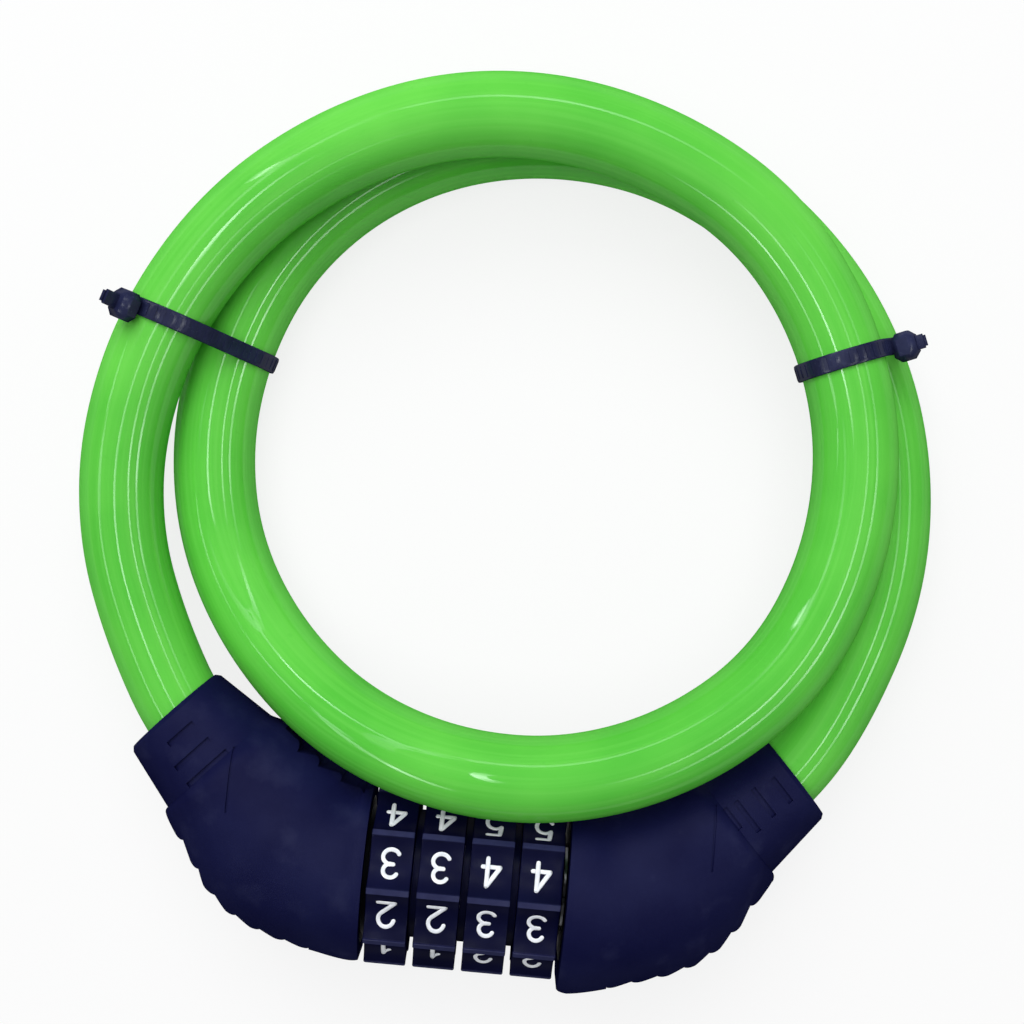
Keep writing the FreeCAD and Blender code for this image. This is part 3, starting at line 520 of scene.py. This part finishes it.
def wheelMesh(start, sizes):
    grid, outline = bmesh.new(), wheelOutline(sizes)
    soft = sizes["edgeRound"]
    # how far in from each side, and how much smaller the section is there
    sides = [(0.0, soft), (0.3 * soft, 0.3 * soft), (soft, 0.0)]
    stations = sides + [(sizes["width"] - place, inset) for place, inset in reversed(sides)]
    rings = []
    for place, inset in stations:
        ring = []
        for y, z in outline:
            share = 1 - inset / math.hypot(y, z)
            ring.append(grid.verts.new((start + place, sizes["axis"].y + y * share,
                                        sizes["axis"].z + z * share)))
        rings.append(ring)
    for place in (sizes["width"], 0.0):
        rings.append([grid.verts.new((start + place, sizes["axis"].y + y * sizes["bore"] / math.hypot(y, z),
                                      sizes["axis"].z + z * sizes["bore"] / math.hypot(y, z)))
                      for y, z in outline])
    count = len(outline)
    for one, two in zip(rings, rings[1:] + rings[:1]):
        for k in range(count):
            grid.faces.new([one[k], one[(k + 1) % count], two[(k + 1) % count], two[k]])
    bmesh.ops.recalc_face_normals(grid, faces=grid.faces)
    mesh = bpy.data.meshes.new("wheel")
    grid.to_mesh(mesh)
    grid.free()
    shadeSmooth(mesh, 32)
    return mesh


for index in range(len(dialSizes["shown"])):
    name = "dial_%d" % (index + 1)
    wheel = addObject(name + "_wheel", wheelMesh(dialSizes["start"] + index * dialSizes["pitch"], dialSizes),
                      dialFinish)
    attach(wheel, name + "_body")
    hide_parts(name)
print("dial wheels made")

# digits, wrapped round the dials by one tree

digitSizes = {"height": 0.0045, "width": 0.0031, "stroke": 0.00066, "relief": 0.00012, "sink": 0.00004,
              "spread": 0.008}


def bow(x, y, wide, high, start, end, steps=14):
    # part of an oval round (x, y), from one angle to another
    turns = [math.radians(start + (end - start) * k / steps) for k in range(steps + 1)]
    return [(x + wide * math.cos(turn), y + high * math.sin(turn)) for turn in turns]


# strokes of each digit in a box 1 wide and 1 high
digitStrokes = {
    0: [bow(0.5, 0.5, 0.46, 0.5, 90, 450, 24)],
    1: [[(0.24, 0.76), (0.44, 0.85), (0.58, 1.0)], [(0.58, 1.0), (0.58, 0.0)]],
    2: [bow(0.5, 0.70, 0.45, 0.30, 168, -38) + [(0.03, 0.0)], [(0.03, 0.0), (1.0, 0.0)]],
    3: [bow(0.5, 0.755, 0.41, 0.245, 152, -84), [(0.54, 0.52), (0.36, 0.52)],
        bow(0.5, 0.265, 0.48, 0.265, 84, -152)],
    4: [[(0.72, 0.0), (0.72, 1.0)], [(0.72, 1.0), (0.0, 0.30)], [(0.0, 0.30), (1.0, 0.30)]],
    5: [[(0.90, 1.0), (0.20, 1.0)], [(0.20, 1.0), (0.12, 0.55)], bow(0.48, 0.325, 0.48, 0.325, 138, -150)],
    6: [bow(0.5, 0.31, 0.47, 0.31, 0, 360, 20), bow(0.94, 0.31, 0.91, 0.69, 98, 180)],
    7: [[(0.02, 1.0), (0.98, 1.0)], [(0.98, 1.0), (0.34, 0.0)]],
    8: [bow(0.5, 0.76, 0.38, 0.24, 0, 360, 20), bow(0.5, 0.26, 0.47, 0.26, 0, 360, 20)],
    9: [bow(0.5, 0.69, 0.47, 0.31, 0, 360, 20), bow(0.06, 0.69, 0.91, 0.69, -82, 0)],
}


def digitTree():
    shape = Shape("dialDigits", ["Stroke", "Relief", "Spread", "Facet radius", "Hollow", "First angle",
                                 "Step angle", "Middle", "Axis Y", "Axis Z"])
    half = shape.size("Stroke") * 0.5
    ring = shape.node("GeometryNodeCurvePrimitiveCircle", None, {"Resolution": 10, "Radius": half})
    body = shape.node("GeometryNodeCurveToMesh", None, {"Curve": shape.entry, "Profile Curve": ring})
    ball = shape.node("GeometryNodeMeshIcoSphere", None, {"Radius": half, "Subdivisions": 2})
    ends = shape.node("GeometryNodeCurveEndpointSelection", None, {"Start Size": 1, "End Size": 1})
    caps = shape.node("GeometryNodeInstanceOnPoints", None, {
        "Points": shape.entry, "Selection": ends, "Instance": ball})
    caps = shape.node("GeometryNodeRealizeInstances", None, {"Geometry": caps})
    flat = shape.node("GeometryNodeJoinGeometry", None, {"Geometry": [body, caps]})
    place = shape.node("ShaderNodeSeparateXYZ", None, {0: shape.node("GeometryNodeInputPosition")})
    x, y, z = place, place.also("Y"), place.also("Z")
    spread = shape.size("Spread")
    number = x / spread + 0.5
    number = number.maths("FLOOR", number)
    angle = shape.size("First angle") + shape.size("Step angle") * number
    sine, cosine = angle.maths("SINE", angle), angle.maths("COSINE", angle)
    high = shape.size("Facet radius") + z * (shape.size("Relief") / half) + y * y * shape.size("Hollow")
    wrapped = shape.node("ShaderNodeCombineXYZ", None, {
        "X": shape.size("Middle") - (x - number * spread),
        "Y": shape.size("Axis Y") + high * sine - y * cosine,
        "Z": shape.size("Axis Z") + high * cosine + y * sine})
    placed = shape.node("GeometryNodeSetPosition", None, {"Geometry": flat, "Position": wrapped})
    shape.finished(placed, paint)
    return shape


def digitLines():
    lines = []
    wide, high = digitSizes["width"] - digitSizes["stroke"], digitSizes["height"] - digitSizes["stroke"]
    for number, strokes in digitStrokes.items():
        for stroke in strokes:
            lines.append([(number * digitSizes["spread"] + (x - 0.5) * wide, (y - 0.5) * high, 0)
                          for x, y in stroke])
    return lines


digitShape = digitTree()
for index, shown in enumerate(dialSizes["shown"]):
    name = "dial_%d" % (index + 1)
    strokeLines = splines(name + "_lines", digitLines(), order=2, resolution=1)
    digits = digitShape.build(name + "_digits", strokeLines, {
        "Stroke": digitSizes["stroke"], "Relief": digitSizes["relief"], "Spread": digitSizes["spread"],
        "Facet radius": dialSizes["facet"] - digitSizes["sink"], "Hollow": dialHollow,
        "First angle": math.radians(dialSizes["lean"] - shown * dialSizes["step"]),
        "Step angle": math.radians(dialSizes["step"]),
        "Middle": dialSizes["start"] + index * dialSizes["pitch"] + dialSizes["width"] / 2,
        "Axis Y": dialSizes["axis"].y, "Axis Z": dialSizes["axis"].z})
    shadeSmooth(digits.data)
    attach(digits, name + "_body")
print("digits made")

# ties: strap, head and toothed tail

tieSizes = {
    "inner": 0.00608, "thickness": 0.0006, "width": 0.0025, "cornerRadius": 0.00022,
    "toothPitch": 0.0012, "toothHeight": 0.00022, "toothLength": 0.0006, "rungHeight": 0.00007,
    "headWide": 0.0042, "headTall": 0.0040, "headDeep": 0.0034, "headStart": 0.0066, "headBevel": 0.0009,
    "tailWide": 0.0021, "tailSink": 0.0006,
    "rungShare": 0.7, "toothShare": 0.75,       # of the strap's and the tail's width
    "crossingReach": 0.024,                     # how far from the tie its two turns of cable lie at most
}
ties = {
    "tie_left": {"at": Vector((-0.0499, 0.0704, 0)), "heading": 162.5, "tip": 57.0, "slide": 0.0,
                 "aside": 0.0007, "reach": 0.0122},
    "tie_right": {"at": Vector((0.0462, 0.0730, 0)), "heading": 22.0, "tip": 24.8, "slide": -0.0046,
                  "aside": -0.0006, "reach": 0.0110},
}


def crossings(at, outward, along):
    # where the cable's line passes through the tie's plane beside the tie
    found = []
    for before, after in zip(cableLine, cableLine[1:]):
        low, high = (before - at).dot(along), (after - at).dot(along)
        if low * high < 0:
            point = before.lerp(after, low / (low - high))
            if (Vector((point.x, point.y, 0)) - at).length < tieSizes["crossingReach"]:
                found.append(point)
    return sorted(found, key=lambda point: point.z)


def strapTree():
    shape = Shape("strap", ["Width", "Thickness", "Corner", "Tooth pitch", "Tooth height", "Tooth length",
                            "Tooth width"])
    box = shape.node("GeometryNodeCurvePrimitiveQuadrilateral", None, {
        "Width": shape.size("Thickness"), "Height": shape.size("Width")})
    rounded = shape.node("GeometryNodeFilletCurve", {"mode": "POLY"}, {
        "Curve": box, "Radius": shape.size("Corner"), "Count": 2})
    line = shape.node("GeometryNodeSetCurveNormal", {"mode": "Z_UP"}, {"Curve": shape.entry})
    strap = shape.node("GeometryNodeCurveToMesh", None, {
        "Curve": line, "Profile Curve": rounded, "Fill Caps": True})
    dots = shape.node("GeometryNodeCurveToPoints", {"mode": "LENGTH"}, {
        "Curve": line, "Length": shape.size("Tooth pitch")})
    size = shape.node("ShaderNodeCombineXYZ", None, {
        "X": shape.size("Tooth height") * 2, "Y": shape.size("Tooth width"), "Z": shape.size("Tooth length")})
    tooth = shape.node("GeometryNodeMeshCube", None, {"Size": size})
    offset = shape.node("ShaderNodeCombineXYZ", None, {"X": shape.size("Thickness") * 0.5})
    tooth = shape.node("GeometryNodeTransform", None, {"Geometry": tooth, "Translation": offset})
    teeth = shape.node("GeometryNodeInstanceOnPoints", None, {
        "Points": dots, "Instance": tooth, "Rotation": dots.also("Rotation")})
    whole = shape.node("GeometryNodeJoinGeometry", None, {"Geometry": [strap, teeth]})
    shape.finished(whole, nylon)
    return shape


strapShape = strapTree()


def loopLine(span, radius, steps=14):
    # racetrack round (0, 0) and span, in the tie's own plane
    angle = math.atan2(span.y, span.x)
    line = []
    for centre, start in ((Vector((0, 0, 0)), angle + math.pi / 2), (span, angle - math.pi / 2)):
        for k in range(steps + 1):
            turn = start + math.pi * k / steps
            line.append(centre + Vector((math.cos(turn), math.sin(turn), 0)) * radius)
    return line


for name, tie in ties.items():
    heading = math.radians(tie["heading"])
    outward = Vector((math.cos(heading), math.sin(heading), 0))
    along = Vector((0, 0, 1)).cross(outward)
    back, front = crossings(tie["at"], outward, along)
    up = Vector((0, 0, 1))
    place = Matrix((outward, up, outward.cross(up))).transposed().to_4x4()
    place.translation = front
    span = place.inverted() @ back
    middle = tieSizes["inner"] + tieSizes["thickness"] / 2
    loop = splines(name + "_line", [loopLine(span, middle)], order=2, cyclic=True, resolution=1)
    strap = strapShape.build(name, loop, {
        "Width": tieSizes["width"], "Thickness": tieSizes["thickness"], "Corner": tieSizes["cornerRadius"],
        "Tooth pitch": tieSizes["toothPitch"], "Tooth height": tieSizes["rungHeight"],
        "Tooth length": tieSizes["toothLength"],
        "Tooth width": tieSizes["width"] * tieSizes["rungShare"]}, place)

    tip = math.radians(tie["tip"])
    out = outward * math.cos(tip) + up * math.sin(tip)
    rise = out.cross(along)
    side = Matrix((out, rise, out.cross(rise))).transposed().to_4x4()
    side.translation = front + rise * tie["slide"] + along * tie["aside"]
    grid = bmesh.new()
    bmesh.ops.create_cube(grid, size=1)
    headSize = (tieSizes["headDeep"], tieSizes["headTall"], tieSizes["headWide"])
    bmesh.ops.scale(grid, vec=headSize, verts=grid.verts)
    bmesh.ops.translate(grid, vec=(tieSizes["headStart"] + tieSizes["headDeep"] / 2, 0, 0), verts=grid.verts)
    bmesh.ops.bevel(grid, geom=grid.edges[:], offset=tieSizes["headBevel"], segments=1, affect="EDGES")
    headMesh = bpy.data.meshes.new(name + "_head")
    grid.to_mesh(headMesh)
    grid.free()
    headMesh.transform(side)
    head = addObject(name + "_head", headMesh, nylon)
    shadeSmooth(headMesh, 20)
    tailLine = [(tieSizes["headStart"] + tieSizes["headDeep"] - tieSizes["tailSink"], 0, 0),
                (tie["reach"], 0, 0)]
    tailCurve = splines(name + "_tail_line", [tailLine], order=2, resolution=1)
    tail = strapShape.build(name + "_tail", tailCurve, {
        "Width": tieSizes["tailWide"], "Thickness": tieSizes["thickness"], "Corner": tieSizes["cornerRadius"],
        "Tooth pitch": tieSizes["toothPitch"], "Tooth height": tieSizes["toothHeight"],
        "Tooth length": tieSizes["toothLength"],
        "Tooth width": tieSizes["tailWide"] * tieSizes["toothShare"]}, side)
    for piece in (strap, head, tail):
        shadeSmooth(piece.data, 40)
        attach(piece, "barrel")
        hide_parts(name)
print("ties made")

# floor, world and lights

stageSizes = {"floor": 3.0, "floorColour": (0.76, 0.762, 0.765, 1), "cover": 0.82, "world": 0.20,
              "target": Vector((0.0, 0.055, 0.012))}


def paleFloor():
    # matt and pale; what the camera and reflections see of it is lifted to white, and the shadow stays
    finish = Finish("paleFloor")
    light = finish.node("ShaderNodeLightPath", output="Is Camera Ray")
    seen = light.maths("MAXIMUM", light, light.also("Is Glossy Ray"))
    seen = seen.maths("MAXIMUM", seen, light.also("Is Transmission Ray"))
    matt = finish.node("ShaderNodeBsdfPrincipled", None, {
        "Base Color": stageSizes["floorColour"], "Roughness": 0.9})
    white = finish.node("ShaderNodeEmission", None, {"Color": (1, 1, 1, 1), "Strength": 1.0})
    mixed = finish.node("ShaderNodeMixShader", None, {0: seen * stageSizes["cover"], 1: matt, 2: white})
    finish.node("ShaderNodeOutputMaterial", None, {"Surface": mixed})
    return finish.material


floorMesh = bpy.data.meshes.new("floor")
half = stageSizes["floor"] / 2
floorCorners = [(-half, -half, 0), (half, -half, 0), (half, half, 0), (-half, half, 0)]
floorMesh.from_pydata(floorCorners, [], [(0, 1, 2, 3)])
floor = addObject("floor", floorMesh, paleFloor())

world = bpy.data.worlds.new("studio")
world.use_nodes = True
scene.world = world
room = Graph()
room.tree = world.node_tree
room.tree.nodes.clear()
ray = room.node("ShaderNodeLightPath", output="Is Camera Ray")
glow = room.node("ShaderNodeBackground", None, {
    "Color": (0.97, 0.985, 1.0, 1), "Strength": ray * (1 - stageSizes["world"]) + stageSizes["world"]})
room.node("ShaderNodeOutputWorld", None, {"Surface": glow})

# narrow lamps bent round the coil, seen only in reflections, so that each one's streak runs along the
# cable: place on the ring in degrees from +X, lean out from straight above the cable, width, strength
arcs = {
    "arcLeftLow": ((112, 182), 34, 0.075, 5.0),
    "arcLeftLower": ((180, 248), 52, 0.080, 13.0),
    "arcLeftHigh": ((140, 236), 9, 0.045, 15.0),
    "arcRightLow": ((-66, 54), 49, 0.090, 12.0),
    "arcRightHigh": ((-78, 50), 23, 0.045, 11.0),
    "arcBack": ((54, 126), 36, 0.070, 9.0),
}
# straight ones for where the cable slopes down beside the barrel: two ends, width, strength
strips = {
    "stripNear": ((-0.29, 0.36), (-0.77, 0.72), 0.06, 12.0),
    "stripFar": ((-0.64, -0.116), (-1.12, 0.236), 0.08, 12.0),
}
coilSizes = {"middle": (0.0013, 0.0560), "radius": 0.050, "lampHeight": 0.6, "fade": 0.42,
             "lampColour": (0.95, 1.0, 1.0, 1)}


def lampMesh(edges):
    # a strip between pairs of points, with how far along it each pair is
    mesh = bpy.data.meshes.new("lamp")
    mesh.from_pydata([point for pair in edges for point in pair], [],
                     [(2 * k, 2 * k + 1, 2 * k + 3, 2 * k + 2) for k in range(len(edges) - 1)])
    for index, entry in enumerate(mesh.attributes.new("place", "FLOAT", "POINT").data):
        entry.value = index // 2 / (len(edges) - 1)
    return mesh


def arcEdges(span, lean, width, steps=40):
    edges, height, reach = [], coilSizes["lampHeight"], math.radians(lean)
    for k in range(steps + 1):
        turn = math.radians(span[0] + (span[1] - span[0]) * k / steps)
        pair = []
        for side in (-width / 2, width / 2):
            out = coilSizes["radius"] + height * math.tan(reach) + side * math.cos(reach)
            pair.append((coilSizes["middle"][0] + out * math.cos(turn),
                         coilSizes["middle"][1] + out * math.sin(turn), height - side * math.sin(reach)))
        edges.append(pair)
    return edges


def stripEdges(start, end, width, steps=12):
    start, end = Vector((*start, coilSizes["lampHeight"])), Vector((*end, coilSizes["lampHeight"]))
    side = (end - start).cross(Vector((0, 0, 1))).normalized() * width / 2
    return [(start.lerp(end, k / steps) - side, start.lerp(end, k / steps) + side) for k in range(steps + 1)]


def addStreakLamp(name, edges, strength):
    finish = Finish(name)
    place = finish.node("ShaderNodeAttribute", {"attribute_name": "place"}, output="Fac")
    fade = finish.between(place, 0, coilSizes["fade"]) * finish.between(1 - place, 0, coilSizes["fade"])
    uneven = finish.between(finish.noise(3.2, 1), 0.40, 0.60, 0.35, 1.0)
    shine = finish.node("ShaderNodeEmission", None, {
        "Color": coilSizes["lampColour"], "Strength": fade * uneven * strength})
    finish.node("ShaderNodeOutputMaterial", None, {"Surface": shine})
    lamp = addObject(name, lampMesh(edges), finish.material)
    lamp.visible_camera = lamp.visible_diffuse = lamp.visible_shadow = False


for name, (span, lean, width, strength) in arcs.items():
    addStreakLamp(name, arcEdges(span, lean, width), strength)
for name, (start, end, width, strength) in strips.items():
    addStreakLamp(name, stripEdges(start, end, width), strength)

# soft lamps: way from the target in degrees (over +X, over +Y), distance, length, width, strength
lamps = {
    "softBack": ((-14, 40), 0.9, 0.9, 0.5, 6.0),
    "softAbove": ((-6, 4), 1.3, 1.0, 1.0, 10.5),
}
for name, ((overX, overY), distance, length, width, strength) in lamps.items():
    way = Vector((math.tan(math.radians(overX)), math.tan(math.radians(overY)), 1)).normalized()
    data = bpy.data.lights.new(name, "AREA")
    data.shape, data.size, data.size_y, data.energy = "RECTANGLE", length, width, strength
    lamp = bpy.data.objects.new(name, data)
    scene.collection.objects.link(lamp)
    shortSide = way.cross(Vector((1, 0, 0))).normalized()
    longSide = shortSide.cross(way)
    turn = Matrix((longSide, shortSide, way)).transposed().to_4x4()
    turn.translation = stageSizes["target"] + way * distance
    lamp.matrix_world = turn
    lamp.visible_camera = lamp.visible_glossy = False
scene.view_settings.view_transform = "Standard"
print("stage made")
